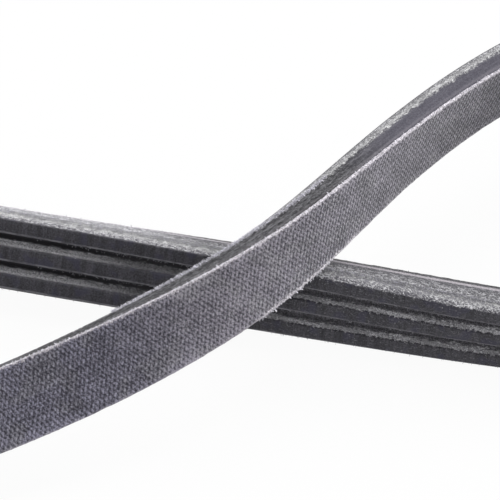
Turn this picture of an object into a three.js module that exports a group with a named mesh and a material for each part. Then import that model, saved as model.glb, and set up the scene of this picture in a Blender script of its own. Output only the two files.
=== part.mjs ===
// Ribbed drive belt: one closed loop, moulded in one piece, standing on its edge.
// Millimetres, +Z up, floor at z = 0. Two crossings fold the loop into three lobes.
import * as THREE from 'three';

// Belt
const beltLength = 826;
const bodyThickness = 2.85;

// Ribs
const ribCount = 3;
const ribPitch = 3.56;
const ribHeight = 1.55;
const ribFlankAngle = 20;
const ribShoulder = 0.15;
const grooveFloor = 0.7;

// Distances from the outer crests to the two cut sides
const upperCutMargin = 1;
const lowerCutMargin = 0.3;

// Crossings
const crossingLean = 30;
const crossingGap = 1;

// Sweep
const stepsPerStation = 6;

// Finish
const rubberColour = 0x3c3d43;
const rubberRoughness = 0.82;

const flankSlope = Math.tan(THREE.MathUtils.degToRad(ribFlankAngle));
const crestWidth = ribPitch - grooveFloor - 2 * ribHeight * flankSlope;
const ribSpan = (ribCount - 1) * ribPitch + crestWidth;
const beltWidth = ribSpan + upperCutMargin + lowerCutMargin;
const beltThickness = bodyThickness + ribHeight;
const crossingLift = standingHeight(crossingLean) + crossingGap;

// Stations of the route, in the order of travel with the ribs on the left. Each holds x, y,
// the share of the crossing lift, and the lean of the upper edge towards the ribs in degrees.
// The plan is scaled afterwards, so that the loop has the belt's length.
const nearStrand = [
  [-54, -41.5, 0.08, 44],
  [-31, -33, 0.27, 49],
  [-11, -24, 0.64, 31],
  [5, -14.2, 1, 16],
  [16.5, 0.9, 1, 1],
  [30.7, 15.2, 1, -3],
];
const middleLobe = [
  [51, 27.5, 1, -8],
  [76, 31, 1, -8],
  [99, 23, 1, -4],
  [113, 2, 1, 0],
  [121, -24, 1, 4],
];
const rightLobe = [
  [133, -50, 0.35, 4],
  [157, -68, 0, 0],
  [187, -68, 0, 0],
  [208, -46, 0, 0],
  [205, -16, 0, 0],
  [179, 2, 0, 0],
  [148, -2, 0, 0],
  [118, -14, 0, 0],
];
const farStrand = [
  [86, -20.5, 0, -2],
  [57, -21.6, 0, -4],
  [33, -18, 0, -7],
  [14, -14, 0, -21],
  [-8, -9.3, 0, -33],
  [-32, -4.1, 0, -46],
  [-58, 2, 0, -34],
];
const leftLobe = [
  [-86, 10, 0, -16],
  [-114, 11, 0, 0],
  [-133, -8, 0, 0],
  [-131, -36, 0, 0],
  [-109, -52, 0, 0],
  [-81, -51, 0, 24],
];
const stations = [...nearStrand, ...middleLobe, ...rightLobe, ...farStrand, ...leftLobe]
  .map(([x, y, lift, lean]) => new THREE.Vector4(x, y, lift, THREE.MathUtils.degToRad(lean)));

// One rib from groove to groove, as points (across the width, towards the back).
function ribPoints(centre) {
  const crest = -beltThickness / 2;
  const crestHalf = crestWidth / 2;
  const baseHalf = crestHalf + ribHeight * flankSlope;
  return [
    [centre - baseHalf, crest + ribHeight],
    [centre - crestHalf - ribShoulder * flankSlope, crest + ribShoulder],
    [centre - crestHalf + ribShoulder, crest],
    [centre + crestHalf - ribShoulder, crest],
    [centre + crestHalf + ribShoulder * flankSlope, crest + ribShoulder],
    [centre + baseHalf, crest + ribHeight],
  ];
}

// The whole section, anticlockwise: flat back, lower cut side, ribs, upper cut side.
// The lower cut runs through the flank of the lowest rib, so that rib has no base point there.
function sectionPoints() {
  const half = beltWidth / 2;
  const back = beltThickness / 2;
  const lowestCentre = -half + lowerCutMargin + crestWidth / 2;
  const ribs = [];
  for (let rib = 0; rib < ribCount; rib += 1) {
    ribs.push(...ribPoints(lowestCentre + rib * ribPitch));
  }
  return [
    [half, back],
    [-half, back],
    [-half, -back + lowerCutMargin / flankSlope],
    ...ribs.slice(1),
    [half, back - bodyThickness],
  ];
}

// Heights of the leaning section's corners above its middle.
function cornerHeights(lean) {
  return sectionPoints().map(([across, back]) => across * Math.cos(lean) + back * Math.sin(lean));
}

// Height of the section's middle when its lowest corner is on the floor.
function restingHeight(lean) {
  return -Math.min(...cornerHeights(lean));
}

// Full height of the section when it stands at a lean given in degrees.
function standingHeight(leanDegrees) {
  const heights = cornerHeights(THREE.MathUtils.degToRad(-leanDegrees));
  return Math.max(...heights) - Math.min(...heights);
}

// Closed cubic B-spline through the pull of four neighbouring stations.
function routeValue(index, t) {
  const weights = [
    (1 - t) ** 3,
    3 * t ** 3 - 6 * t ** 2 + 4,
    -3 * t ** 3 + 3 * t ** 2 + 3 * t + 1,
    t ** 3,
  ];
  const value = new THREE.Vector4(0, 0, 0, 0);
  weights.forEach((weight, offset) => {
    const station = stations[(index + offset - 1 + stations.length) % stations.length];
    value.addScaledVector(station, weight / 6);
  });
  return value;
}

// Values at each step of the loop: plan place, share of the lift, and lean.
function routeValues() {
  const values = [];
  for (let index = 0; index < stations.length; index += 1) {
    for (let step = 0; step < stepsPerStation; step += 1) {
      values.push(routeValue(index, step / stepsPerStation));
    }
  }
  return values;
}

// Middle of the section and its lean at each step, for a plan drawn at the given scale.
function routeSteps(planScale) {
  return routeValues().map(({ x, y, z: liftShare, w: lean }) => {
    const height = restingHeight(lean) + liftShare * crossingLift;
    return { middle: new THREE.Vector3(x * planScale, y * planScale, height), lean };
  });
}

function loopLength(steps) {
  const gaps = steps.map(({ middle }, index) => (
    middle.distanceTo(steps[(index + 1) % steps.length].middle)
  ));
  return gaps.reduce((total, gap) => total + gap, 0);
}

// Directions across the width and towards the back at one step.
function sectionAxes(steps, index) {
  const before = steps[(index - 1 + steps.length) % steps.length].middle;
  const after = steps[(index + 1) % steps.length].middle;
  const travel = after.clone().sub(before).normalize();
  const right = new THREE.Vector3().crossVectors(travel, new THREE.Vector3(0, 0, 1)).normalize();
  const upright = new THREE.Vector3().crossVectors(right, travel);
  const { lean } = steps[index];
  const across = upright.clone().multiplyScalar(Math.cos(lean))
    .addScaledVector(right, -Math.sin(lean));
  const back = right.clone().multiplyScalar(Math.cos(lean))
    .addScaledVector(upright, Math.sin(lean));
  return { across, back };
}

// Section swept round the route, with every ring joined to the next one.
function beltGeometry() {
  const section = sectionPoints();
  const steps = routeSteps(beltLength / loopLength(routeSteps(1)));
  const positions = [];
  const faces = [];
  steps.forEach(({ middle }, ring) => {
    const { across, back } = sectionAxes(steps, ring);
    section.forEach(([u, n], corner) => {
      positions.push(...middle.clone().addScaledVector(across, u).addScaledVector(back, n));
      const nextRing = (ring + 1) % steps.length;
      const nextCorner = (corner + 1) % section.length;
      const here = ring * section.length;
      const there = nextRing * section.length;
      faces.push(here + corner, here + nextCorner, there + nextCorner);
      faces.push(here + corner, there + nextCorner, there + corner);
    });
  });
  const geometry = new THREE.BufferGeometry();
  geometry.setAttribute('position', new THREE.Float32BufferAttribute(positions, 3));
  geometry.setIndex(faces);
  return geometry;
}

// The loop's plan is centred on the origin and its lowest edge is on the floor.
function centreOnFloor(geometry) {
  geometry.computeBoundingBox();
  const { min, max } = geometry.boundingBox;
  geometry.translate(-(min.x + max.x) / 2, -(min.y + max.y) / 2, -min.z);
  geometry.computeVertexNormals();
  return geometry;
}

function rubber() {
  return new THREE.MeshStandardMaterial({ color: rubberColour, roughness: rubberRoughness });
}

function belt() {
  const mesh = new THREE.Mesh(centreOnFloor(beltGeometry()), rubber());
  mesh.name = 'belt';
  return mesh;
}

const group = new THREE.Group();
group.name = 'serpentine_belt';
group.add(belt());

export default group;
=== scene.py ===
"""Ribbed drive belt with a woven back, folded into three lobes on its cut edge.

The belt is shaped as a straight blank, slit from a wider sleeve, and then laid along its
closed route. Lengths are in millimetres until a finished piece is brought to metres.
In the straight blank, x is the run, +y is the ribbed face and +z is the upper edge.
"""
import logging
import math
from abc import ABC, abstractmethod
from collections.abc import Callable
from dataclasses import dataclass
from enum import Enum

import bmesh
import bpy
import numpy as np
from bpy.types import ID, Material, Node, NodeSocket, Object
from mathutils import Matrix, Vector


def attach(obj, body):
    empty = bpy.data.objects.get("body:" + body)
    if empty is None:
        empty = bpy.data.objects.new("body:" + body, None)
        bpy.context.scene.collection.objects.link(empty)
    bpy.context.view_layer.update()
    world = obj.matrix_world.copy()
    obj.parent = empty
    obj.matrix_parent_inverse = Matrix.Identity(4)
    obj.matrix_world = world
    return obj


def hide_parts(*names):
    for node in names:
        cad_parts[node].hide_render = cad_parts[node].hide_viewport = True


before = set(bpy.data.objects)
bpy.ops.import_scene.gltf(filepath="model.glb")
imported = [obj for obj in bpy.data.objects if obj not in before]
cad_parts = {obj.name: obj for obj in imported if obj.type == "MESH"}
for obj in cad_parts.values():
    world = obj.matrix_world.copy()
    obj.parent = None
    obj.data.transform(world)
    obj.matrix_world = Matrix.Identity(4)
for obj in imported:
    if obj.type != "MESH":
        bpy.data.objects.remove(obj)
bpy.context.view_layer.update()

MM = 0.001
# Slack of a test of place on the straight blank, in millimetres.
SLACK = 0.01
# Threads of one family that cross the back along the whole run.
THREADS = 1346
LOG = logging.getLogger("belt")


# ---------------------------------------------------------------- sizes


class Edge(Enum):
    """The belt's two cut edges."""

    UPPER = 1
    LOWER = -1


@dataclass(frozen=True)
class Section:
    """Cross-section of the belt, in millimetres."""

    body: float = 2.85
    rib_count: int = 3
    pitch: float = 3.56
    rib_height: float = 1.55
    flank_angle: float = 20.0
    shoulder: float = 0.15
    groove_floor: float = 0.7
    upper_margin: float = 1.0
    lower_margin: float = 0.3
    fabric: float = 0.42

    @property
    def slope(self) -> float:
        """Sideways run of a flank for each millimetre of its height."""
        return math.tan(math.radians(self.flank_angle))

    @property
    def crest(self) -> float:
        """Width of a rib's flat top."""
        return self.pitch - self.groove_floor - 2 * self.rib_height * self.slope

    @property
    def base_half(self) -> float:
        """Half of a rib's width at its base."""
        return self.crest / 2 + self.rib_height * self.slope

    @property
    def width(self) -> float:
        """Distance between the two cut edges."""
        span = (self.rib_count - 1) * self.pitch + self.crest
        return span + self.upper_margin + self.lower_margin

    @property
    def thickness(self) -> float:
        """Distance from the back to the crests."""
        return self.body + self.rib_height

    @property
    def floor_depth(self) -> float:
        """Place of the groove floors along y."""
        return self.thickness / 2 - self.rib_height

    def rib_centres(self) -> list[float]:
        """Places of the ribs across the width, from the lower edge up."""
        first = -self.width / 2 + self.lower_margin + self.crest / 2
        return [first + rib * self.pitch for rib in range(self.rib_count)]

    def corners(self) -> np.ndarray:
        """Outermost points of the section.

        Returns:
            Rows of (across, towards the back), with the sharp outline of the ribs.
        """
        half, back = self.width / 2, self.thickness / 2
        points = [(half, back), (-half, back), (-half, self.lower_margin / self.slope - back)]
        for centre in self.rib_centres():
            points.append((centre - self.crest / 2 + self.shoulder, -back))
            points.append((centre + self.crest / 2 - self.shoulder, -back))
        points.append((half, back - self.body))
        return np.array(points)


NEAR_STRAND = (
    (-54, -41.5, 0.08, 44), (-31, -33, 0.27, 49), (-11, -24, 0.64, 31),
    (5, -14.2, 1, 16), (16.5, 0.9, 1, 1), (30.7, 15.2, 1, -3),
)
MIDDLE_LOBE = (
    (51, 27.5, 1, -8), (76, 31, 1, -8), (99, 23, 1, -4), (113, 2, 1, 0), (121, -24, 1, 4),
)
RIGHT_LOBE = (
    (133, -50, 0.35, 4), (157, -68, 0, 0), (187, -68, 0, 0), (208, -46, 0, 0),
    (205, -16, 0, 0), (179, 2, 0, 0), (148, -2, 0, 0), (118, -14, 0, 0),
)
FAR_STRAND = (
    (86, -20.5, 0, -2), (57, -21.6, 0, -4), (33, -18, 0, -7), (14, -14, 0, -21),
    (-8, -9.3, 0, -33), (-32, -4.1, 0, -46), (-58, 2, 0, -34),
)
LEFT_LOBE = (
    (-86, 10, 0, -16), (-114, 11, 0, 0), (-133, -8, 0, 0), (-131, -36, 0, 0),
    (-109, -52, 0, 0), (-81, -51, 0, 24),
)


@dataclass(frozen=True)
class Route:
    """Closed path of the belt through its stations: x, y, share of the lift, lean."""

    section: Section
    length: float = 826.0
    crossing_lean: float = 30.0
    crossing_gap: float = 1.0
    coarse_steps: int = 6
    fine_steps: int = 30
    start_station: int = 14

    def stations(self) -> np.ndarray:
        """Stations in the order of travel, starting in the right lobe."""
        rows = NEAR_STRAND + MIDDLE_LOBE + RIGHT_LOBE + FAR_STRAND + LEFT_LOBE
        return np.roll(np.array(rows, dtype=float), -self.start_station, axis=0)

    def spline(self, steps: int) -> np.ndarray:
        """Smooth path through the pull of four neighbouring stations.

        Args:
            steps: Points for each station.

        Returns:
            Rows of x, y, share of the lift, and lean in radians.
        """
        stations = self.stations()
        t = (np.arange(steps) / steps)[:, None, None]
        weights = ((1 - t) ** 3, 3 * t ** 3 - 6 * t ** 2 + 4,
                   -3 * t ** 3 + 3 * t ** 2 + 3 * t + 1, t ** 3)
        parts = [w * np.roll(stations, 1 - k, axis=0)[None] for k, w in enumerate(weights)]
        rows = (sum(parts) / 6).transpose(1, 0, 2).reshape(-1, 4)
        rows[:, 3] = np.radians(rows[:, 3])
        return rows

    def heights(self, lean: np.ndarray) -> np.ndarray:
        """Heights of the section's corners above its middle, for each lean."""
        across, back = self.section.corners().T
        return np.outer(np.cos(lean), across) + np.outer(np.sin(lean), back)

    def middles(self, rows: np.ndarray, scale: float) -> np.ndarray:
        """Places of the section's middle.

        Args:
            rows: Points of the spline.
            scale: Scale of the plan.

        Returns:
            Rows of x, y, z in millimetres, before the plan is centred.
        """
        leaning = self.heights(np.array([-math.radians(self.crossing_lean)]))
        lift = np.ptp(leaning) + self.crossing_gap
        rest = -self.heights(rows[:, 3]).min(axis=1)
        return np.column_stack([rows[:, :2] * scale, rest + rows[:, 2] * lift])

    @staticmethod
    def around(points: np.ndarray) -> float:
        """Length of a closed chain of points."""
        return float(np.linalg.norm(np.roll(points, -1, axis=0) - points, axis=1).sum())

    def outline(self, points: np.ndarray, lean: np.ndarray) -> np.ndarray:
        """Corners of every section along the path.

        Args:
            points: Middles of the section.
            lean: Lean of each section in radians.

        Returns:
            Rows of x, y, z.
        """
        travel = np.roll(points, -1, axis=0) - np.roll(points, 1, axis=0)
        right = np.cross(travel, (0.0, 0.0, 1.0))
        upright = np.cross(right, travel)
        right /= np.linalg.norm(right, axis=1)[:, None]
        upright /= np.linalg.norm(upright, axis=1)[:, None]
        cos, sin = np.cos(lean)[:, None], np.sin(lean)[:, None]
        across, back = upright * cos - right * sin, right * cos + upright * sin
        sides = [points + u * across + n * back for u, n in self.section.corners()]
        return np.concatenate(sides)

    def laid(self) -> tuple[np.ndarray, np.ndarray]:
        """Path of the belt in the object's own frame.

        Returns:
            Middles of the section in millimetres, and their lean in radians.
        """
        coarse = self.spline(self.coarse_steps)
        scale = self.length / self.around(self.middles(coarse, 1.0))
        corners = self.outline(self.middles(coarse, scale), coarse[:, 3])
        centre = (corners.min(axis=0) + corners.max(axis=0)) / 2
        fine = self.spline(self.fine_steps)
        points = self.middles(fine, scale) - (centre[0], centre[1], 0.0)
        return points, fine[:, 3]

    def curve(self) -> tuple[Object, float]:
        """Guide that bends a straight blank along the path.

        Returns:
            The guide and its length.
        """
        points, lean = self.laid()
        data = bpy.data.curves.new("belt_guide", "CURVE")
        data.dimensions = "3D"
        data.twist_mode = "Z_UP"
        spline = data.splines.new("POLY")
        spline.points.add(len(points) - 1)
        spline.points.foreach_set("co", np.column_stack([points, np.ones(len(points))]).ravel())
        spline.points.foreach_set("tilt", -lean)
        spline.use_cyclic_u = True
        return add("belt_guide", data), self.around(points)


# ---------------------------------------------------------------- modelling by hand


def add(name: str, data: ID) -> Object:
    """Put new data into the scene as an object.

    Args:
        name: Name of the object.
        data: Curve, mesh, camera or lamp.

    Returns:
        The new object.
    """
    new = bpy.data.objects.new(name, data)
    bpy.context.collection.objects.link(new)
    return new


def start_clean() -> None:
    """Leave nothing selected."""
    if bpy.context.object and bpy.context.object.mode != "OBJECT":
        bpy.ops.object.mode_set(mode="OBJECT")
    bpy.ops.object.select_all(action="DESELECT")


def take(piece: Object) -> None:
    """Leave edit mode and make one piece the only selected and active object.

    Args:
        piece: Piece to take.
    """
    start_clean()
    piece.select_set(True)
    bpy.context.view_layer.objects.active = piece


def edit(piece: Object) -> None:
    """Open a piece in edit mode with all of it selected.

    Args:
        piece: Piece to edit.
    """
    take(piece)
    bpy.ops.object.mode_set(mode="EDIT")
    bpy.ops.mesh.select_all(action="SELECT")


def pick(piece: Object, what: str, test: Callable[[object], bool]) -> None:
    """Select faces, edges or vertices of the piece being edited.

    Args:
        piece: Piece in edit mode.
        what: "FACE", "EDGE" or "VERT".
        test: True for each element to select.
    """
    bpy.ops.mesh.select_all(action="DESELECT")
    bpy.ops.mesh.select_mode(type=what)
    shape = bmesh.from_edit_mesh(piece.data)
    group = {"FACE": shape.faces, "EDGE": shape.edges, "VERT": shape.verts}[what]
    for element in group:
        if test(element):
            element.select_set(True)
    shape.select_flush_mode()
    bmesh.update_edit_mesh(piece.data)


def block(name: str, low: tuple, high: tuple) -> Object:
    """Rectangular start of a piece.

    Args:
        name: Name of the piece.
        low: Lowest corner.
        high: Highest corner.

    Returns:
        The new object, at the origin and unscaled.
    """
    start_clean()
    place = [(a + b) / 2 for a, b in zip(low, high)]
    size = [b - a for a, b in zip(low, high)]
    bpy.ops.mesh.primitive_cube_add(size=1, location=place, scale=size)
    piece = bpy.context.object
    piece.name = name
    piece.data.name = name
    bpy.ops.object.transform_apply(location=True, rotation=True, scale=True)
    return piece


def slice_at(piece: Object, level: float, up: int = 1, **options: bool) -> None:
    """Cut all of a piece at one level of z, with the outer side up (1) or down (-1)."""
    edit(piece)
    bpy.ops.mesh.bisect(plane_co=(0, 0, level), plane_no=(0, 0, up), **options)


def runs_at(edge: bmesh.types.BMEdge, level: float) -> bool:
    """True for an edge that lies along the run at one level of y."""
    first, second = (vert.co for vert in edge.verts)
    return max(abs(first.y - level), abs(second.y - level), abs(first.z - second.z)) < SLACK


def repeat(piece: Object, count: int, step: float) -> None:
    """Open the ends of a short length of blank and join copies of it into the whole run.

    Args:
        piece: Short length, from x = 0 to x = step.
        count: Number of lengths.
        step: Distance between them.
    """
    edit(piece)
    pick(piece, "FACE", lambda face: abs(face.normal.x) > 0.9)
    bpy.ops.mesh.delete(type="FACE")
    take(piece)
    row = piece.modifiers.new("run", "ARRAY")
    row.count = count
    row.use_relative_offset = False
    row.use_constant_offset = True
    row.constant_offset_displace = (step, 0, 0)
    row.use_merge_vertices = True
    row.merge_threshold = 0.002
    bpy.ops.object.modifier_apply(modifier=row.name)


def write_run_maps(piece: Object) -> None:
    """Keep the straight blank's coordinates as two maps, so that patterns follow the run.

    Args:
        piece: Straight piece in millimetres.
    """
    mesh = piece.data
    places = np.empty(len(mesh.vertices) * 3)
    mesh.vertices.foreach_get("co", places)
    loops = np.empty(len(mesh.loops), dtype=int)
    mesh.loops.foreach_get("vertex_index", loops)
    corner = places.reshape(-1, 3)[loops]
    for name, axes in (("run_across", (0, 2)), ("run_depth", (0, 1))):
        layer = mesh.uv_layers.get(name) or mesh.uv_layers.new(name=name)
        layer.uv.foreach_set("vector", corner[:, axes].ravel())


def lay(piece: Object, guide: Object, smooth: float = 0.0) -> None:
    """Bend a straight piece along the route and bring it to metres.

    Args:
        piece: Straight piece in millimetres.
        guide: Curve of the route.
        smooth: Angle up to which a piece that closes on itself is shaded smooth, in
            degrees, or 0 for a piece of loose parts.
    """
    take(piece)
    bend = piece.modifiers.new("lay", "CURVE")
    bend.object = guide
    bend.deform_axis = "POS_X"
    bpy.ops.object.modifier_apply(modifier=bend.name)
    if smooth:
        edit(piece)
        bpy.ops.mesh.remove_doubles(threshold=SLACK)
        take(piece)
    piece.scale = (MM, MM, MM)
    bpy.ops.object.transform_apply(location=True, rotation=True, scale=True)
    if smooth:
        bpy.ops.object.shade_smooth_by_angle(angle=math.radians(smooth))


def mount(piece: Object, slot: str, replaced: str | None = None) -> None:
    """Tie a finished piece to the belt's body.

    Args:
        piece: Finished piece.
        slot: Not used.
        replaced: Solid that the piece stands for, if any.
    """
    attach(piece, "root")
    if replaced:
        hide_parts(replaced)
    LOG.info("%s: %d vertices", piece.name, len(piece.data.vertices))


# ---------------------------------------------------------------- shading


class Signal:
    """Number of a material that varies over the surface."""

    def __init__(self, sheet: "Sheet", socket: NodeSocket) -> None:
        """Wrap one output socket."""
        self.sheet = sheet
        self.socket = socket

    def math(self, operation: str, *others: "Signal | float") -> "Signal":
        """Math node with this signal as its first value."""
        return self.sheet.math(operation, self, *others)

    def __add__(self, other: "Signal | float") -> "Signal":
        """Sum."""
        return self.math("ADD", other)

    __radd__ = __add__

    def __sub__(self, other: "Signal | float") -> "Signal":
        """Difference."""
        return self.math("SUBTRACT", other)

    def __rsub__(self, other: float) -> "Signal":
        """Difference from a number."""
        return self.sheet.math("SUBTRACT", other, self)

    def __mul__(self, other: "Signal | float") -> "Signal":
        """Product."""
        return self.math("MULTIPLY", other)

    __rmul__ = __mul__

    def __truediv__(self, other: "Signal | float") -> "Signal":
        """Quotient."""
        return self.math("DIVIDE", other)

    def __abs__(self) -> "Signal":
        """Size without sign."""
        return self.math("ABSOLUTE")

    def over(self, low: float, high: float) -> "Signal":
        """Smooth step that is 0 below low and 1 above high."""
        node = self.sheet.node("ShaderNodeMapRange", {"interpolation_type": "SMOOTHSTEP"},
                               {"Value": self, "From Min": low, "From Max": high})
        return Signal(self.sheet, node.outputs["Result"])


class Sheet:
    """Node sheet of one material."""

    def __init__(self, name: str) -> None:
        """Start an empty material.

        Args:
            name: Name of the material.
        """
        self.material = bpy.data.materials.new(name)
        self.material.use_nodes = True
        self.tree = self.material.node_tree
        self.tree.nodes.clear()

    def node(self, kind: str, settings: dict | None = None,
             values: dict | None = None) -> Node:
        """Add one node.

        Args:
            kind: Type of the node.
            settings: Its properties, set first.
            values: Values or links of its sockets, by name or number.

        Returns:
            The new node.
        """
        node = self.tree.nodes.new(kind)
        for name, value in (settings or {}).items():
            setattr(node, name, value)
        for name, value in (values or {}).items():
            socket = node.inputs[name]
            if isinstance(value, Signal):
                self.tree.links.new(value.socket, socket)
            elif isinstance(value, NodeSocket):
                self.tree.links.new(value, socket)
            else:
                socket.default_value = value
        return node

    def math(self, operation: str, *values: Signal | float) -> Signal:
        """Math node.

        Args:
            operation: Name of the operation.
            values: One to three numbers or signals.

        Returns:
            Its result.
        """
        node = self.node("ShaderNodeMath", {"operation": operation}, dict(enumerate(values)))
        return Signal(self, node.outputs[0])

    def run(self) -> tuple[Signal, Signal, Signal]:
        """Read the place on the straight blank.

        Returns:
            Signals along the run, across the width, and towards the ribs.
        """
        across = self.node("ShaderNodeUVMap", {"uv_map": "run_across"})
        depth = self.node("ShaderNodeUVMap", {"uv_map": "run_depth"})
        first = self.node("ShaderNodeSeparateXYZ", None, {0: across.outputs[0]})
        second = self.node("ShaderNodeSeparateXYZ", None, {0: depth.outputs[0]})
        return (Signal(self, first.outputs[0]), Signal(self, first.outputs[1]),
                Signal(self, second.outputs[1]))

    def place(self, x: Signal | float, y: Signal | float,
              z: Signal | float) -> NodeSocket:
        """Vector from three numbers."""
        return self.node("ShaderNodeCombineXYZ", None, {0: x, 1: y, 2: z}).outputs[0]

    def noise(self, place: NodeSocket, scale: float, detail: float = 2.0,
              roughness: float = 0.5) -> Signal:
        """Soft noise between 0 and 1.

        Args:
            place: Vector in millimetres.
            scale: Grains for each millimetre.
            detail: Octaves.
            roughness: Share of the finer octaves.

        Returns:
            The noise.
        """
        node = self.node("ShaderNodeTexNoise", {"noise_dimensions": "3D"},
                         {"Vector": place, "Scale": scale, "Detail": detail,
                          "Roughness": roughness})
        return Signal(self, node.outputs[0])

    def curls(self, run: Signal, across: Signal, depth: Signal, scale: float,
              width: float = 0.05) -> Signal:
        """Thin wavy lines, as of short fibres that lie about.

        Args:
            run: Place along the run.
            across: Place across the width.
            depth: Place towards the ribs.
            scale: Waves for each millimetre.
            width: Share of the noise's range that a line takes.

        Returns:
            1 on a line and 0 between the lines.
        """
        lines = []
        for shift in (0.0, 37.0):
            wave = self.noise(self.place(run * 0.55 + shift, across, depth), scale, 1.0)
            lines.append(1 - abs(wave - 0.5).over(0.0, width))
        return lines[0].math("MAXIMUM", lines[1])

    def blend(self, factor: Signal | float, first: object,
              second: object) -> NodeSocket:
        """Colour between two colours.

        Args:
            factor: 0 gives the first and 1 gives the second.
            first: Colour or socket.
            second: Colour or socket.

        Returns:
            The mixed colour.
        """
        node = self.node("ShaderNodeMix", {"data_type": "RGBA", "clamp_factor": True},
                         {0: factor, 6: first, 7: second})
        return node.outputs[2]

    def surface(self, colour: object, roughness: Signal | float, height: Signal | None,
                relief: float, **constants: object) -> Material:
        """Close the sheet with its main shader.

        Args:
            colour: Base colour.
            roughness: Roughness.
            height: Height of the relief in millimetres, or None.
            relief: Strength of the relief.
            constants: Plain values of other sockets.

        Returns:
            The finished material.
        """
        values = {"Base Color": colour, "Roughness": roughness}
        values.update({name.replace("_", " "): value for name, value in constants.items()})
        if height is not None:
            bump = self.node("ShaderNodeBump", None,
                             {"Height": height, "Distance": MM, "Strength": relief})
            values["Normal"] = bump.outputs[0]
        shader = self.node("ShaderNodeBsdfPrincipled", None, values)
        self.node("ShaderNodeOutputMaterial", None, {"Surface": shader.outputs[0]})
        return self.material


@dataclass(frozen=True)
class Stretch:
    """Part of the run that has worn in its own way, with soft ends."""

    start: float
    end: float
    soft: float = 10.0

    def mask(self, run: Signal) -> Signal:
        """1 inside the stretch and 0 away from it."""
        return run.over(self.start, self.start + self.soft) * (
            1 - run.over(self.end - self.soft, self.end))

    def inside(self, run: np.ndarray) -> np.ndarray:
        """True for the places that lie in the stretch."""
        return (run > self.start) & (run < self.end)


# Places along the run, in millimetres from the far end of the right lobe.
FLUFFY_SIDE = Stretch(150.0, 300.0)
# On this stretch the fabric's edge is dull, with painted shade along its rounded rim.
DULL_AND_SHADED_EDGE = Stretch(150.0, 256.0, 12.0)
# On this stretch the grooves hold dust, and the painted shade under each rib is lighter and broken
# into flecks.
DUSTY_SOFTER_SHADE_GROOVES = Stretch(150.0, 246.0, 16.0)
HAIRY_GROOVES = Stretch(150.0, 262.0)
FRAYED_SIDE = Stretch(484.0, 572.0, 12.0)
FUZZY_BRINK = Stretch(527.0, 560.0)
TUFTED_EDGE = Stretch(543.0, 556.0)
COOL_FABRIC = Stretch(490.0, 540.0, 22.0)
PALE_LOWER_EDGE = Stretch(541.0, 564.0, 4.0)
# Painted light: the fabric on this stretch is made lighter, as light falls on it there.
PAINTED_LIGHT_FABRIC = Stretch(526.0, 556.0, 7.0)
# Painted shade: the fabric on this stretch is made darker, as it lies in shade there.
PAINTED_SHADE_FABRIC = Stretch(578.0, 640.0, 16.0)


def tint(level: float, green: float, blue: float) -> tuple[float, float, float, float]:
    """Grey colour with its shares of green and blue."""
    return (level, level * green, level * blue, 1.0)


def grey(level: float, blue: float = 0.0) -> tuple[float, float, float, float]:
    """Grey colour with a little blue or violet in it."""
    return tint(level, 1 - blue * 0.25, 1 + blue)


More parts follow.
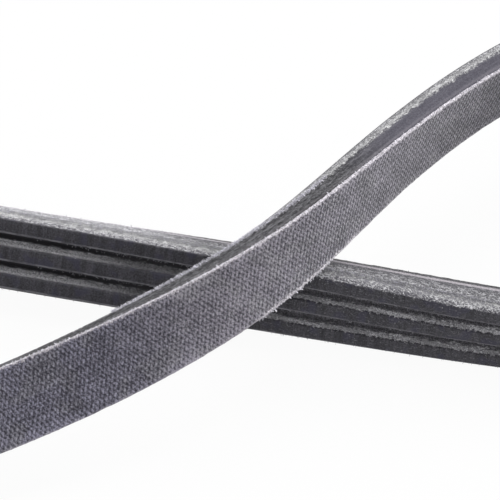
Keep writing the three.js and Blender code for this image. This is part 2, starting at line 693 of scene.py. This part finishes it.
@dataclass(frozen=True)
class WovenFinish:
    """Plain weave of grey threads that lie at an angle to the run, pale at its cut edges."""

    section: Section
    run_length: float
    threads: int = THREADS
    thread_angle: float = 28.0
    rise: float = 0.35

    def threads_at(self, sheet: Sheet) -> tuple[Signal, Signal, Signal]:
        """Lie of the two families of threads.

        Args:
            sheet: Sheet of the fabric.

        Returns:
            Roundness of the first and of the second family, and which one is on top.
        """
        run, across, _ = sheet.run()
        angle = math.radians(self.thread_angle)
        wave = math.pi * self.threads / self.run_length
        sway = (sheet.noise(sheet.place(run, across, 0.0), 0.6) - 0.5) * 0.7
        along, aside = run * wave + sway, across * (wave * math.tan(angle))
        one, two = (along + aside).math("COSINE"), (along - aside).math("COSINE")
        return abs(one), abs(two), one * two

    def material(self) -> Material:
        """Make the fabric.

        Returns:
            The finished material.
        """
        sheet = Sheet("woven_back")
        run, across, depth = sheet.run()
        place = sheet.place(run, across, depth)
        first, second, top = self.threads_at(sheet)
        height = (first + top * self.rise).math("MAXIMUM", second - top * self.rise)
        # Painted shade: the colour is darker in the weave's valleys and on the threads that lie
        # underneath, where shade falls.
        lit = height - top * 0.14
        fluff = sheet.noise(place, 6.0, 3.0, 0.75)
        crown = sheet.noise(place, 2.6, 2.0, 0.6)
        patch = sheet.noise(place, 0.3, 2.0)
        half, back = self.section.width / 2, self.section.thickness / 2
        nap = abs(across).over(half - 1.6, half)
        # Painted light lifts the tone on one stretch of the near strand, and painted shade lowers
        # it on the stretch after.
        tone = (lit * 0.5 + (fluff - 0.5) * 2.1 + (crown - 0.5) * 1.2 + (patch - 0.5) * 0.5
                + nap * 0.16 + PAINTED_LIGHT_FABRIC.mask(run) * 0.15
                - PAINTED_SHADE_FABRIC.mask(run) * 0.17)
        thread = sheet.blend(COOL_FABRIC.mask(run), tint(0.44, 0.94, 1.09),
                             tint(0.42, 0.97, 1.24))
        thread = sheet.blend(sheet.noise(place, 0.28, 1.0).over(0.48, 0.62) * 0.45, thread,
                             tint(0.43, 0.98, 1.03))
        share = tone.over(-0.02, 1.16)
        share = share * (share * 0.45 + 0.55)
        colour = sheet.blend(share, tint(0.046, 0.95, 1.26), thread)
        ragged = (sheet.noise(place, 2.4, 3.0, 0.75) - 0.5) * 1.7
        low = 1 - across.over(-1.0, 1.0)
        fringe = PALE_LOWER_EDGE.mask(run)
        edge = (abs(across) + ragged + low * fringe * 0.25).over(half - 0.3, half - 0.08)
        ends = (edge * 0.9).math("MAXIMUM", (depth + back).over(0.03, 0.12))
        dull = DULL_AND_SHADED_EDGE.mask(run)
        # Painted shade: a near-black line along the fabric's rounded edge, where shade falls.
        shaded_rim = dull * abs(across).over(half - 0.25, half - 0.05) * 0.95
        colour = sheet.blend(shaded_rim, colour, tint(0.016, 0.94, 1.05))
        ends = ends * (1 - dull * 0.92) * (1 - low * (1 - fringe) * 0.7)
        ends = ends * (1 - FLUFFY_SIDE.mask(run) * 0.45)
        pale = sheet.blend(fluff.over(0.32, 0.62), tint(0.24, 0.95, 1.04), tint(0.95, 0.95, 1.02))
        colour = sheet.blend(ends, colour, pale)
        relief = height * 0.08 + fluff * 0.09
        return sheet.surface(colour, 0.9, relief, 1.0, Sheen_Weight=0.5,
                             Sheen_Roughness=0.4, Specular_IOR_Level=0.25)


@dataclass(frozen=True)
class RibFinish:
    """Ground rubber: smooth dark crests, and flanks speckled with short fibres."""

    section: Section

    def material(self) -> Material:
        """Make the ribbed rubber.

        Returns:
            The finished material.
        """
        sheet = Sheet("ribbed_rubber")
        run, across, depth = sheet.run()
        place = sheet.place(run, across, depth)
        along = sheet.place(run * 0.3, across, depth)
        section, first = self.section, self.section.rib_centres()[0]
        # Depth below the crests, and place beside the middle of the nearest rib.
        below = section.thickness / 2 - depth
        beside = (((across - first) / section.pitch + 0.5).math("FRACT") - 0.5) * section.pitch
        upper = beside.over(-0.1, 0.1)
        dust_and_softer_shade = DUSTY_SOFTER_SHADE_GROOVES.mask(run)
        patch = sheet.noise(along, 0.5, 2.0, 0.6)

        # Flanks with short fibres, and the bed of fluff beside the last rib.
        ragged = (sheet.noise(place, 2.4, 3.0, 0.75) - 0.5) * (0.5 + dust_and_softer_shade * 0.7)
        top = section.rib_centres()[-1] + section.base_half
        bed = across.over(top - 0.75, top - 0.65)
        soft = (0.35 + upper * 0.15) * (1 - dust_and_softer_shade.math("MAXIMUM", bed)) + 0.2
        flank = ((below + ragged + bed * 0.06 - 0.14) / soft).over(0.0, 1.0)
        margin = across.over(top - 0.4, top - 0.05)
        fine = sheet.noise(place, 5.0, 2.0, 0.6)
        hairs = sheet.noise(sheet.place(run * 0.4, across, depth), 3.6, 3.0, 0.85)
        curls = sheet.curls(run, across, depth, 2.3)
        fluffy = FLUFFY_SIDE.mask(run)
        speckle = (fine + hairs + curls * 0.35 + patch * 0.5 - 1.38).over(-0.2, 0.2)
        fluff = sheet.blend(speckle, sheet.blend(fluffy, grey(0.2, 0.05), grey(0.12, 0.12)),
                            sheet.blend(dust_and_softer_shade, grey(0.56, 0.03), grey(0.66, 0.03)))

        # Grooves: painted shade under each rib, filled with fibres towards the next rib down.
        under = ((first - across) / section.pitch + 1).math("FRACT") * section.pitch
        under = under - section.crest / 2
        dashes = sheet.noise(sheet.place(run * 0.22, across, depth), 3.0, 3.0, 0.75)
        reach = (under - 0.13 - dust_and_softer_shade * 0.85) / (1 - dust_and_softer_shade * 0.52)
        reach = reach + (dashes - 0.5) * (0.6 + dust_and_softer_shade * 1.0) + (hairs - 0.5) * (0.5 + dust_and_softer_shade * 0.5)
        filled = reach.over(0.72, 1.2).math("MAXIMUM", margin)
        tuft = (patch + curls * 0.2 - 0.1).over(0.35, 0.6) * 0.6 + 0.4 + (1 - dust_and_softer_shade) * 0.5
        # Painted shade under the ribs is made weaker on the hairy stretch.
        hair_softened_shade = HAIRY_GROOVES.mask(run) * (1 - dust_and_softer_shade)
        # Painted shade under each rib: near black, with lighter flecks on the dusty stretch.
        painted_groove_shade = sheet.blend(dust_and_softer_shade * fine.over(0.4, 0.6), grey(0.034, 0.12), grey(0.24, 0.1))
        painted_groove_shade = sheet.blend(filled.math("MAXIMUM", hair_softened_shade * 0.25 + dust_and_softer_shade * 0.38), painted_groove_shade,
                          grey(0.24, 0.06))
        # Painted shade also darkens the fill next to the rib above, and it gives way to pale
        # fibres further down.
        deep = sheet.blend(reach.over(0.75, 1.25) * (1 - hair_softened_shade * 0.6),
                           sheet.blend(speckle, grey(0.05, 0.1), grey(0.28, 0.05)),
                           sheet.blend(fine.over(0.36, 0.56), grey(0.4, 0.08), grey(1.0, 0.03)))
        rough = sheet.blend(filled * tuft.math("MAXIMUM", bed), painted_groove_shade,
                            sheet.blend(bed, deep, fluff))
        # Flat strip between the last rib and the cut side.
        woolly = sheet.noise(sheet.place(run * 0.7, across, depth), 1.7, 3.0, 0.7).over(0.38, 0.6)
        strip = across.over(top - 0.05, top + 0.1) * (1 - dust_and_softer_shade)
        edging = sheet.blend(dust_and_softer_shade, grey(0.28, 0.05), grey(0.42, 0.08))
        edging = sheet.blend(strip, edging, grey(0.66, 0.04))
        rough = sheet.blend(margin * 0.95, rough,
                            sheet.blend(speckle * (dust_and_softer_shade * 0.6 + 0.4) + woolly * (1 - dust_and_softer_shade) * 0.6,
                                        edging, sheet.blend(strip, grey(0.84), grey(1.0))))

        # Ground crests, with a glint along their lower shoulders.
        marks = sheet.noise(sheet.place(run, across * 0.12, depth * 0.12), 1.6, 3.0, 0.6)
        grain = sheet.noise(place, 4.5, 3.0, 0.7)
        crest = sheet.blend((marks * 0.7 + grain * 1.2 - 0.45).over(0.2, 0.9),
                            grey(0.028, 0.16), grey(0.108, 0.13))
        crest = sheet.blend(sheet.noise(place, 0.45, 1.0).over(0.5, 0.65) * 0.6, crest,
                            tint(0.056, 0.95, 1.5))
        specks = (fine * 0.6 + hairs + curls * 0.1).over(0.9, 1.05) * dust_and_softer_shade * 0.5
        crest = sheet.blend(specks, crest, grey(0.26, 0.08))
        shoulder = abs(beside).over(section.crest / 2 - 0.22, section.crest / 2 - 0.1)
        glint = shoulder * (1 - upper) * (0.2 + dashes.over(0.38, 0.62) * 0.7)
        crest = sheet.blend(glint, crest, grey(0.25, 0.08))
        colour = sheet.blend(flank, crest, rough)
        height = (speckle * 0.1 + fine * 0.05) * flank + marks * 0.008 + grain * 0.01
        return sheet.surface(colour, 0.62 + flank * 0.3, height, 0.9, Specular_IOR_Level=0.35)


@dataclass(frozen=True)
class CutFinish:
    """Slit side of the belt, smooth or fluffy along the run, with a pale ply by the fabric."""

    section: Section

    def material(self) -> Material:
        """Make the slit rubber.

        Returns:
            The finished material.
        """
        sheet = Sheet("slit_rubber")
        run, across, depth = sheet.run()
        place = sheet.place(run, across, depth)
        from_back = depth + self.section.thickness / 2
        fluffy = FLUFFY_SIDE.mask(run)
        frayed = FRAYED_SIDE.mask(run)
        body = self.section.body
        ragged = (sheet.noise(place, 1.8, 3.0, 0.7) - 0.5) * (1.4 + frayed * 0.6)
        brink = (from_back + ragged - frayed * 0.1).over(body - 0.5, body + 0.1)
        fine = sheet.noise(place, 5.0, 3.0, 0.8)
        hairs = sheet.noise(sheet.place(run * 0.4, across, depth), 3.6, 3.0, 0.85)
        curls = sheet.curls(run, across, depth, 2.3)
        lines = sheet.noise(sheet.place(run * 0.06, across, depth), 2.2, 2.0)
        speckle = (fine + hairs + curls * 0.3 - 1.12).over(-0.22, 0.24)
        base = sheet.blend(lines.over(0.25, 0.75) * 0.3 + fine.over(0.3, 0.7) * 0.7,
                           tint(0.052, 0.95, 1.28), tint(0.13, 0.96, 1.16))
        streaks = (lines * 0.6 + hairs * 1.2 + curls * 0.15 - 0.98).over(-0.24, 0.28)
        base = sheet.blend(frayed * 0.9, base,
                           sheet.blend(streaks, grey(0.02, 0.05), grey(0.2, 0.05)))
        pale = sheet.blend(speckle, grey(0.12, 0.06), grey(0.9))
        colour = sheet.blend(brink * (0.8 + frayed * 0.2), base, pale)
        dull = DULL_AND_SHADED_EDGE.mask(run)
        worn = sheet.blend(from_back.over(1.1, 2.4), grey(0.24, 0.05), grey(0.44, 0.03))
        wool = sheet.blend(speckle, sheet.blend(dull, grey(0.16, 0.06), grey(0.08, 0.08)),
                           sheet.blend(dull, grey(0.58, 0.04), worn))
        colour = sheet.blend(fluffy * 0.94, colour, wool)
        ply = from_back.over(0.5, 0.62) * (1 - from_back.over(0.84, 1.02))
        colour = sheet.blend(ply * (0.1 + dull * 0.6), colour, tint(0.52, 0.93, 1.0))
        height = speckle * (0.015 + brink * 0.05 * (1 - fluffy) + fluffy * 0.05) + lines * 0.015
        return sheet.surface(colour, 0.8, height, 0.8, Specular_IOR_Level=0.3)


@dataclass(frozen=True)
class FibreFinish:
    """Loose pale fibre."""

    name: str
    dark: float
    light: float

    def material(self) -> Material:
        """Make the fibre.

        Returns:
            The finished material.
        """
        sheet = Sheet(self.name)
        run, across, depth = sheet.run()
        tone = sheet.noise(sheet.place(run, across, depth), 3.0)
        colour = sheet.blend(tone.over(0.3, 0.7), grey(self.dark, 0.08), grey(self.light, 0.06))
        return sheet.surface(colour, 0.85, None, 0.0, Specular_IOR_Level=0.3)


# ---------------------------------------------------------------- sub-assemblies


@dataclass
class Strip(ABC):
    """Closed strip of the belt: a short straight length, repeated and laid along the route."""

    section: Section
    run_length: float
    lengths: int = THREADS
    smooth: float = 30.0
    slot: str = "rubber"
    replaced: str | None = None

    @property
    def step(self) -> float:
        """One short length of the strip."""
        return self.run_length / self.lengths

    @abstractmethod
    def shape(self) -> Object:
        """Model the whole straight run."""

    @abstractmethod
    def dress(self, piece: Object) -> None:
        """Give the straight run its finishes."""

    def build(self, guide: Object) -> None:
        """Make the finished strip.

        Args:
            guide: Curve of the route.
        """
        piece = self.shape()
        write_run_maps(piece)
        self.dress(piece)
        lay(piece, guide, self.smooth)
        mount(piece, self.slot, self.replaced)


@dataclass
class RibbedBody(Strip):
    """Rubber body with its ribs and its two slit sides."""

    replaced: str | None = "belt"
    sleeve: float = 14.0
    overlap: float = 0.06
    crest_segments: int = 3
    floor_round: float = 0.12

    def grow_ribs(self, piece: Object) -> None:
        """Raise the ribs from the ribbed face of the blank and taper them.

        Args:
            piece: Short length of the blank.
        """
        section = self.section
        for centre in section.rib_centres():
            for side in (-1, 1):
                slice_at(piece, centre + side * section.base_half)
        top = section.floor_depth
        for centre in section.rib_centres():
            edit(piece)
            pick(piece, "FACE", lambda face: face.normal.y > 0.9
                 and abs(face.calc_center_median().y - top) < SLACK
                 and abs(face.calc_center_median().z - centre) < section.base_half)
            bpy.ops.mesh.extrude_region_move(
                TRANSFORM_OT_translate={"value": (0, section.rib_height, 0)})
            taper = section.crest / (2 * section.base_half)
            bpy.ops.transform.resize(
                value=(1, 1, taper),
                center_override=(self.step / 2, section.thickness / 2, centre))

    def soften(self, piece: Object) -> None:
        """Round the crests' shoulders and the corners of the groove floors.

        Args:
            piece: Short length with its ribs.
        """
        crest = self.section.thickness / 2
        edit(piece)
        pick(piece, "EDGE", lambda edge: runs_at(edge, crest))
        bpy.ops.mesh.bevel(offset=self.section.shoulder, segments=self.crest_segments,
                           affect="EDGES")
        floor = self.section.floor_depth
        bounds = [c + s * self.section.base_half
                  for c in self.section.rib_centres() for s in (-1, 1)]
        pick(piece, "EDGE", lambda edge: runs_at(edge, floor)
             and min(abs(edge.verts[0].co.z - b) for b in bounds) < SLACK)
        bpy.ops.mesh.bevel(offset=self.floor_round, segments=2, affect="EDGES")

    def slit(self, piece: Object) -> None:
        """Cut the blank to the belt's width and square up the face of the lower cut.

        Args:
            piece: Short length with its ribs.
        """
        half = self.section.width / 2
        for side in (1, -1):
            slice_at(piece, side * half, side, use_fill=True, clear_outer=True)
        pick(piece, "VERT", lambda vert: vert.co.z < SLACK - half
             and abs(vert.co.y - self.section.floor_depth) < SLACK)
        bpy.ops.mesh.vert_connect()

    def shape(self) -> Object:
        """Model the whole straight body.

        Returns:
            The body, in millimetres.
        """
        back = -self.section.thickness / 2 + self.section.fabric - self.overlap
        piece = block("belt_body", (0, back, -self.sleeve / 2),
                      (self.step, self.section.floor_depth, self.sleeve / 2))
        self.grow_ribs(piece)
        self.soften(piece)
        self.slit(piece)
        repeat(piece, self.lengths, self.step)
        return piece

    def dress(self, piece: Object) -> None:
        """Give the ribs and the slit sides their own finishes.

        Args:
            piece: Whole straight body.
        """
        piece.data.materials.append(RibFinish(self.section).material())
        piece.data.materials.append(CutFinish(self.section).material())
        half = self.section.width / 2
        for face in piece.data.polygons:
            face.material_index = int(abs(face.center.z) > half - SLACK)


@dataclass
class WovenBack(Strip):
    """Fabric layer on the back of the belt."""

    smooth: float = 40.0
    slot: str = "woven_back"
    cuts_across: int = 11
    edge_round: float = 0.1
    ripple: float = 0.035
    seed: int = 4

    def shape(self) -> Object:
        """Model the whole straight layer.

        Returns:
            The layer, in millimetres.
        """
        back, half = -self.section.thickness / 2, self.section.width / 2
        piece = block("woven_back", (0, back, -half),
                      (self.step, back + self.section.fabric, half))
        edit(piece)
        pick(piece, "EDGE", lambda edge: runs_at(edge, back))
        bpy.ops.mesh.bevel(offset=self.edge_round, segments=2, affect="EDGES")
        for cut in range(1, self.cuts_across):
            slice_at(piece, -half + cut * 2 * half / self.cuts_across)
        repeat(piece, self.lengths, self.step)
        return piece

    def unsettle(self, piece: Object) -> None:
        """Move the face and the edges a little, as a weave is never quite even.

        Args:
            piece: Whole straight layer.
        """
        back = -self.section.thickness / 2
        edit(piece)
        pick(piece, "VERT", lambda vert: vert.co.y < back + self.section.fabric - SLACK
             and SLACK < vert.co.x < self.run_length - SLACK)
        bpy.ops.transform.vertex_random(offset=self.ripple, uniform=1.0, seed=self.seed)
        take(piece)

    def dress(self, piece: Object) -> None:
        """Give the fabric its unevenness and its weave.

        Args:
            piece: Whole straight layer.
        """
        self.unsettle(piece)
        finish = WovenFinish(self.section, self.run_length, self.lengths)
        piece.data.materials.append(finish.material())


@dataclass
class Fibres:
    """Short loose fibres, modelled once and copied along the run."""

    name: str
    slot: str
    finish: FibreFinish
    roots: np.ndarray
    directions: np.ndarray
    lengths: np.ndarray
    widths: np.ndarray

    def hair(self) -> tuple[np.ndarray, list[tuple[int, ...]]]:
        """Model one fibre of unit length and width, pointed at both ends.

        Returns:
            Its vertices, from z = 0 to z = 1, and its faces.
        """
        start_clean()
        bpy.ops.mesh.primitive_cylinder_add(vertices=3, radius=0.5, depth=0.6,
                                            end_fill_type="TRIFAN", location=(0, 0, 0.5))
        piece = bpy.context.object
        bpy.ops.object.transform_apply(location=True, rotation=True, scale=True)
        for end in (-1, 1):
            edit(piece)
            pick(piece, "VERT", lambda vert: vert.co.xy.length < SLACK
                 and (vert.co.z - 0.5) * end > 0.1)
            bpy.ops.transform.translate(value=(0, 0, 0.2 * end))
        take(piece)
        points = np.array([vert.co[:] for vert in piece.data.vertices])
        faces = [tuple(face.vertices) for face in piece.data.polygons]
        bpy.data.objects.remove(piece)
        return points, faces

    def shape(self) -> Object:
        """Copy the fibre to every root.

        Returns:
            All the fibres on the straight blank.
        """
        points, faces = self.hair()
        along = self.directions / np.linalg.norm(self.directions, axis=1)[:, None]
        side = np.cross(along, (0.31, 0.83, 0.46))
        side /= np.linalg.norm(side, axis=1)[:, None]
        other = np.cross(along, side)
        wide, tall = self.widths[:, None, None], self.lengths[:, None, None]
        places = (self.roots[:, None]
                  + side[:, None] * points[None, :, 0:1] * wide
                  + other[:, None] * points[None, :, 1:2] * wide
                  + along[:, None] * points[None, :, 2:3] * tall)
        mesh = bpy.data.meshes.new(self.name)
        count = len(points)
        copies = [tuple(index + count * copy for index in face)
                  for copy in range(len(self.roots)) for face in faces]
        mesh.from_pydata(places.reshape(-1, 3).tolist(), [], copies)
        piece = add(self.name, mesh)
        edit(piece)
        bpy.ops.mesh.normals_make_consistent(inside=False)
        take(piece)
        return piece

    def build(self, guide: Object) -> None:
        """Make the finished fibres as one piece.

        Args:
            guide: Curve of the route.
        """
        piece = self.shape()
        write_run_maps(piece)
        piece.data.materials.append(self.finish.material())
        lay(piece, guide)
        mount(piece, self.slot)


@dataclass
class LooseEnds:
    """Where the loose fibres stand: thread ends of the fabric, and fibres on the flanks."""

    section: Section
    run_length: float
    seed: int = 11
    threads: int = THREADS
    filaments: int = 3
    flank_count: int = 9000
    brink_count: int = 40000
    seam_clear: float = 0.6
    edge_finish: FibreFinish = FibreFinish("thread_end", 0.5, 0.85)
    flank_finish: FibreFinish = FibreFinish("flank_fibre", 0.3, 0.7)
    brink_finish: FibreFinish = FibreFinish("brink_fibre", 0.5, 0.95)

    def fray(self, edge: Edge) -> Fibres:
        """Cut ends of both families of threads along one edge.

        Args:
            edge: Edge of the belt.

        Returns:
            The fibres.
        """
        rng = np.random.default_rng(self.seed + edge.value)
        count = 2 * self.threads * self.filaments
        end = np.arange(count)
        step = self.run_length / self.threads
        lean = np.where(end % 2, 1.0, -1.0)
        run = (end // (2 * self.filaments) + 0.5 * (end % 2)) * step
        run = np.clip(run + rng.normal(0, 0.08, count), self.seam_clear,
                      self.run_length - self.seam_clear)
        depth = -self.section.thickness / 2 + rng.uniform(0.05, self.section.fabric, count)
        inset = rng.uniform(0.1, 0.28, count)
        angle = np.radians(60 + rng.normal(0, 12, count))
        directions = np.column_stack([lean * np.cos(angle), rng.normal(0, 0.25, count),
                                      edge.value * np.sin(angle)])
        keep = rng.random(count) > np.where(FLUFFY_SIDE.inside(run), 0.96, 0.0)
        tufts = np.ones(count)
        if edge is Edge.LOWER:
            tufts = np.where(TUFTED_EDGE.inside(run), 1.5, 0.6)
            inset = np.where(TUFTED_EDGE.inside(run), inset, inset + 0.1)
        across = edge.value * (self.section.width / 2 - inset)
        return Fibres(f"fray_{edge.name.lower()}", "woven_back", self.edge_finish,
                      np.column_stack([run, depth, across])[keep], directions[keep],
                      (rng.uniform(0.22, 0.46, count) * tufts)[keep],
                      (rng.uniform(0.07, 0.13, count) * tufts)[keep])

    def brink(self) -> Fibres:
        """Fibres along the ribbed side of the upper slit edge.

        Returns:
            The fibres.
        """
        section = self.section
        rng = np.random.default_rng(self.seed + 30)
        count = self.brink_count
        run = rng.uniform(self.seam_clear, self.run_length - self.seam_clear, count)
        depth = section.floor_depth - np.abs(rng.normal(0, 0.2, count)) - 0.02
        across = np.full(count, section.width / 2 - 0.05)
        fluffy = FLUFFY_SIDE.inside(run)
        depth[fluffy] = section.floor_depth - 0.04
        across[fluffy] -= rng.uniform(0, section.upper_margin * 0.5, count)[fluffy]
        directions = np.column_stack([rng.normal(0, 0.8, count), 0.5 + rng.normal(0, 0.5, count),
                                      0.7 + rng.random(count)])
        directions[fluffy] *= (1.6, 0.5, 0.5)
        share = np.where(fluffy, 0.35, 0.0)
        keep = FUZZY_BRINK.inside(run) | (rng.random(count) < share)
        return Fibres("brink_fibres", "rubber", self.brink_finish,
                      np.column_stack([run, depth, across])[keep], directions[keep],
                      rng.uniform(0.2, 0.5, count)[keep], rng.uniform(0.05, 0.09, count)[keep])

    def flanks(self, edge: Edge) -> Fibres:
        """Fibres that stand out of the ribs' flanks on one side.

        Args:
            edge: Edge of the belt that the flanks face.

        Returns:
            The fibres.
        """
        section, side = self.section, edge.value
        rng = np.random.default_rng(self.seed + 10 + side)
        count = self.flank_count
        centres = np.array(section.rib_centres())[rng.integers(0, section.rib_count, count)]
        below = rng.uniform(0.12, section.rib_height, count)
        run = rng.uniform(self.seam_clear, self.run_length - self.seam_clear, count)
        across = centres + side * (section.crest / 2 + below * section.slope)
        depth = section.thickness / 2 - below
        keep = np.abs(across) < section.width / 2 - 0.02
        keep &= HAIRY_GROOVES.inside(run) | (rng.random(count) < 0.25)
        directions = np.column_stack([rng.normal(0, 1.0, count),
                                      0.35 + rng.normal(0, 0.5, count),
                                      side * (0.55 + rng.random(count) * 0.5)])
        return Fibres(f"flank_fibres_{edge.name.lower()}", "rubber", self.flank_finish,
                      np.column_stack([run, depth, across])[keep], directions[keep],
                      rng.uniform(0.12, 0.32, count)[keep], rng.uniform(0.04, 0.08, count)[keep])

    def build(self, guide: Object) -> None:
        """Make all the loose fibres.

        Args:
            guide: Curve of the route.
        """
        for edge in Edge:
            self.fray(edge).build(guide)
        for edge in Edge:
            self.flanks(edge).build(guide)
        self.brink().build(guide)


@dataclass
class Studio:
    """White floor, soft light, and the camera at the photograph's angle."""

    target: tuple[float, float, float] = (-0.037264, 0.018647, 0.0)
    elevation: float = 50.0
    distance: float = 0.7
    field_width: float = 0.06553
    world_level: float = 0.47
    floor_size: float = 6.0
    floor_glow: float = 0.95

    def camera(self) -> None:
        """Set up the camera."""
        data = bpy.data.cameras.new("camera")
        data.lens = data.sensor_width * self.distance / self.field_width
        data.clip_start = 0.01
        data.clip_end = 50.0
        camera = add("camera", data)
        tilt = math.radians(self.elevation)
        offset = Vector((0, -math.cos(tilt), math.sin(tilt))) * self.distance
        camera.location = Vector(self.target) + offset
        camera.rotation_euler = (math.radians(90) - tilt, 0, 0)
        bpy.context.scene.camera = camera

    def lamp(self, name: str, place: Vector, size: float, power: float) -> None:
        """Soft square lamp that looks at the target.

        Args:
            name: Name of the lamp.
            place: Where it hangs, from the target.
            size: Length of its side.
            power: Power in watts.
        """
        data = bpy.data.lights.new(name, "AREA")
        data.size = size
        data.energy = power
        lamp = add(name, data)
        lamp.location = Vector(self.target) + place
        lamp.rotation_euler = (-place).to_track_quat("-Z", "Y").to_euler()

    def lights(self) -> None:
        """Set up the even light and the lamps."""
        world = bpy.data.worlds.new("even_light")
        world.use_nodes = True
        background = world.node_tree.nodes["Background"]
        background.inputs["Color"].default_value = (1, 1, 1, 1)
        background.inputs["Strength"].default_value = self.world_level
        bpy.context.scene.world = world
        self.lamp("soft_back", Vector((0.0, 0.8, 1.2)), 1.0, 13.0)
        self.lamp("soft_right", Vector((1.15, 0.65, 0.45)), 0.7, 23.0)

    def floor(self) -> None:
        """Lay the white floor that shows as white and still takes the shadow."""
        start_clean()
        bpy.ops.mesh.primitive_plane_add(size=self.floor_size, location=(0, 0, -0.0003))
        plane = bpy.context.object
        plane.name = "studio_floor"
        bpy.ops.object.transform_apply(location=True, rotation=True, scale=True)
        sheet = Sheet("studio_floor")
        rays = sheet.node("ShaderNodeLightPath").outputs
        seen, glossy, through = (Signal(sheet, rays[f"Is {kind} Ray"])
                                 for kind in ("Camera", "Glossy", "Transmission"))
        seen = seen.math("MAXIMUM", glossy).math("MAXIMUM", through) * self.floor_glow
        plain = sheet.node("ShaderNodeBsdfDiffuse", None, {"Color": (0.8, 0.8, 0.8, 1)})
        glow = sheet.node("ShaderNodeEmission", None, {"Color": (1, 1, 1, 1), "Strength": 1.0})
        both = sheet.node("ShaderNodeMixShader", None,
                          {0: seen, 1: plain.outputs[0], 2: glow.outputs[0]})
        sheet.node("ShaderNodeOutputMaterial", None, {"Surface": both.outputs[0]})
        plane.data.materials.append(sheet.material)

    def build(self) -> None:
        """Set up the whole studio."""
        bpy.context.scene.view_settings.view_transform = "Standard"
        self.camera()
        self.lights()
        self.floor()
        LOG.info("studio ready")


def main() -> None:
    """Build the belt and the studio round it."""
    logging.basicConfig(level=logging.INFO, format="%(name)s: %(message)s")
    Studio().build()
    section = Section()
    guide, run_length = Route(section).curve()
    RibbedBody(section, run_length).build(guide)
    WovenBack(section, run_length).build(guide)
    LooseEnds(section, run_length).build(guide)
    bpy.data.objects.remove(guide)


if __name__ == "__main__":
    main()
